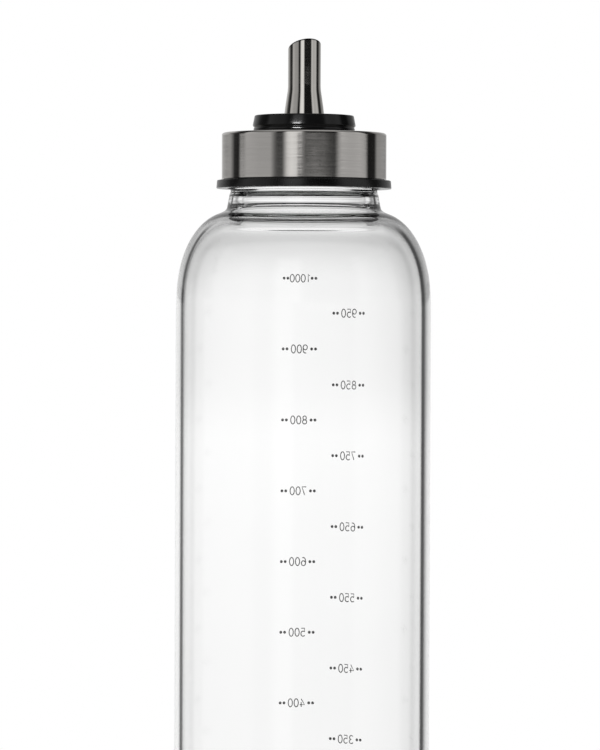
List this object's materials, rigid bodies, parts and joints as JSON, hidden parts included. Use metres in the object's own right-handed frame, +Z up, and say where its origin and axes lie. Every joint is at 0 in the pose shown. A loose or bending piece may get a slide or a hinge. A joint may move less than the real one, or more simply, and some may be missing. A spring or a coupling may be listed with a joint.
{
  "type": "oil bottle",
  "caption": "Tall round glass bottle with a rounded shoulder and a short wide neck, closed by a screw cap that carries a slanted steel pouring spout for oil.",
  "frame": {"origin": "centre of the base, on the surface that the bottle stands on", "axes": "+Z up along the bottle's axis, -Y towards the viewer of the picture, +X to that viewer's right; the measuring scale is on the +Y side and reads from there"},
  "size_m": [0.08, 0.08, 0.3093],
  "materials": {
    "clear_glass": "clear, smooth, fire-polished",
    "white_silicone": "matte moulded silicone",
    "black_plastic": "satin moulded",
    "brushed_steel": "brushed round the axis",
    "gloss_black_plastic": "high gloss moulded",
    "grey_silicone": "matte moulded silicone",
    "polished_steel": "polished stainless steel",
    "natural_plastic": "uncoloured moulded",
    "tube_steel": "drawn tube"
  },
  "bodies": {
    "bottle": {"glass_bottle": "clear_glass"},
    "seal": {"mouth_gasket": "white_silicone"},
    "cap": {"threaded_cap": "black_plastic", "steel_sleeve": "brushed_steel", "spout_collar": "gloss_black_plastic", "spout_gasket": "grey_silicone", "pour_spout": "polished_steel", "flow_insert": "natural_plastic", "air_tube": "tube_steel"}
  },
  "joints": [
    {"name": "cap_lift", "type": "slide", "parent": "bottle", "child": "seal", "axis": [0, 0, 1], "range_m": [0, 0.017]},
    {"name": "cap_turn", "type": "hinge", "parent": "seal", "child": "cap", "pos_m": [0, 0, 0.27], "axis": [0, 0, 1], "range_deg": [0, 1440]}
  ],
  "couplings": [
    {"joint": "cap_lift", "follows": "cap_turn", "m_per_rad": 0.00067322}
  ]
}
